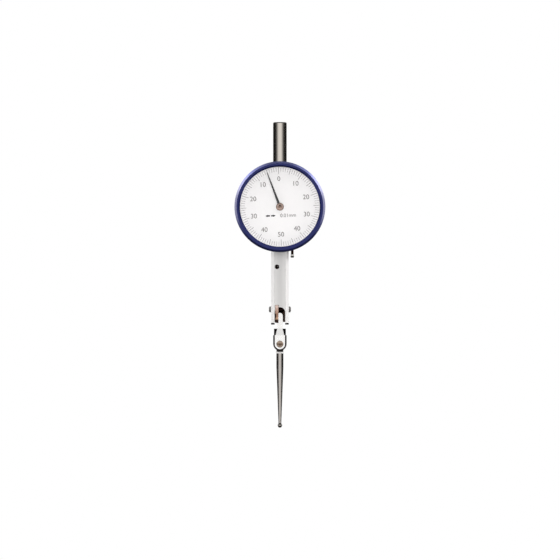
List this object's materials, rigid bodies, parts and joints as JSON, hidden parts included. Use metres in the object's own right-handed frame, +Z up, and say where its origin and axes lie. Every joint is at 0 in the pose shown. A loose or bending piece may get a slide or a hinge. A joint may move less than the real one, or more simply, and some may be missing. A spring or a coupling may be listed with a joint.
{
  "type": "dial test indicator",
  "caption": "Lever dial test indicator: slim forked frame, turning bezel over a graduated dial, geared pointer, swivelling ball-ended stylus, reversing lever and round clamping stem.",
  "frame": {"origin": "on the stem's axis where the stem leaves its dovetail clamp", "axes": "+Z up along the stem, the dial faces -Y, +X to the reader's right; the stylus hangs towards -Z"},
  "size_m": [0.0396, 0.0205, 0.1333],
  "materials": {
    "satin_chrome": "satin chrome plate",
    "ground_steel": "ground, bright",
    "blue_anodised": "dark blue anodised, satin",
    "case_aluminium": "turned, satin",
    "clear_crystal": "clear, polished",
    "dial_white": "white enamel, matt",
    "hand_black": "black, satin",
    "brass": "turned, satin",
    "bronze": "phosphor bronze, satin",
    "blackened_steel": "chemically blackened",
    "screw_steel": "turned, bright",
    "hardened_steel": "hardened and polished",
    "holder_chrome": "bright chrome plate",
    "stylus_chrome": "bright chrome plate",
    "spring_steel": "blued strip",
    "spacer_grey": "matt moulding"
  },
  "bodies": {
    "root": {"frame": "satin_chrome", "back_cover": "satin_chrome", "cover_screws": "screw_steel", "dial_case": "case_aluminium", "case_screws": "screw_steel", "stem": "ground_steel", "clamp_jaw": "satin_chrome", "clamp_screw": "screw_steel", "pivot_screws": "screw_steel", "ring_nuts": "satin_chrome", "sector_bushes": "bronze", "crown_bushes": "bronze", "movement_bridge": "brass", "bridge_pillars": "brass", "bridge_screws": "screw_steel", "arbor_bushes": "bronze", "rear_cock": "brass", "cock_screw": "screw_steel", "hairspring_stud": "brass", "hairspring": "spring_steel", "bezel_clip": "spring_steel", "blade_spring": "bronze", "blade_screw": "screw_steel"},
    "bezel_group": {"bezel": "blue_anodised", "crystal": "clear_crystal", "spacer_ring": "spacer_grey", "dial_plate": "dial_white"},
    "pointer_group": {"pointer_hand": "hand_black", "pointer_hub": "brass", "pointer_arbor": "hardened_steel", "hairspring_collet": "brass"},
    "crown_group": {"crown_wheel": "brass", "crown_shaft": "hardened_steel"},
    "sector_group": {"sector_lever": "hardened_steel", "sector_arbor": "hardened_steel"},
    "stylus_lever_group": {"stylus_lever": "blackened_steel", "lever_arbor": "hardened_steel", "drive_pin": "hardened_steel", "stylus_holder": "holder_chrome", "lap_screw": "screw_steel", "swivel_screw": "bronze", "friction_washer": "bronze"},
    "stylus_group": {"swivel_hub": "holder_chrome", "stylus_shank": "stylus_chrome", "stylus_ball": "hardened_steel"},
    "reversing_group": {"reversing_lever": "screw_steel", "reversing_knob": "blackened_steel", "reversing_cam": "hardened_steel"}
  },
  "joints": [
    {"name": "bezel_turn", "type": "hinge", "parent": "root", "child": "bezel_group", "pos_m": [0, -0.01025, -0.019], "axis": [0, 1, 0], "continuous": true},
    {"name": "lever_swing", "type": "hinge", "parent": "root", "child": "stylus_lever_group", "pos_m": [0, 0, -0.0637], "axis": [1, 0, 0], "range_deg": [0, 1.36], "stiffness_Nm_per_rad": 0.1, "springref_deg": -8.59},
    {"name": "sector_swing", "type": "hinge", "parent": "root", "child": "sector_group", "pos_m": [0, 0, -0.045], "axis": [1, 0, 0], "range_deg": [-2.7, 0.05]},
    {"name": "crown_spin", "type": "hinge", "parent": "root", "child": "crown_group", "pos_m": [0, -0.00263, -0.019], "axis": [1, 0, 0], "range_deg": [-0.5, 55]},
    {"name": "pointer_spin", "type": "hinge", "parent": "root", "child": "pointer_group", "pos_m": [0, -0.01225, -0.019], "axis": [0, 1, 0], "range_deg": [-5, 440], "deforming": ["hairspring"]},
    {"name": "stylus_swivel", "type": "hinge", "parent": "stylus_lever_group", "child": "stylus_group", "pos_m": [0, 0, -0.0788], "axis": [0, 1, 0], "range_deg": [-100, 100]},
    {"name": "reversing_turn", "type": "hinge", "parent": "root", "child": "reversing_group", "pos_m": [0.0054, -0.00425, -0.033], "axis": [0, -1, 0], "range_deg": [0, 25]}
  ],
  "couplings": [
    {"joint": "sector_swing", "follows": "lever_swing", "ratio": -1.9128},
    {"joint": "crown_spin", "follows": "lever_swing", "ratio": 39.742},
    {"joint": "pointer_spin", "follows": "lever_swing", "ratio": 317.94}
  ]
}
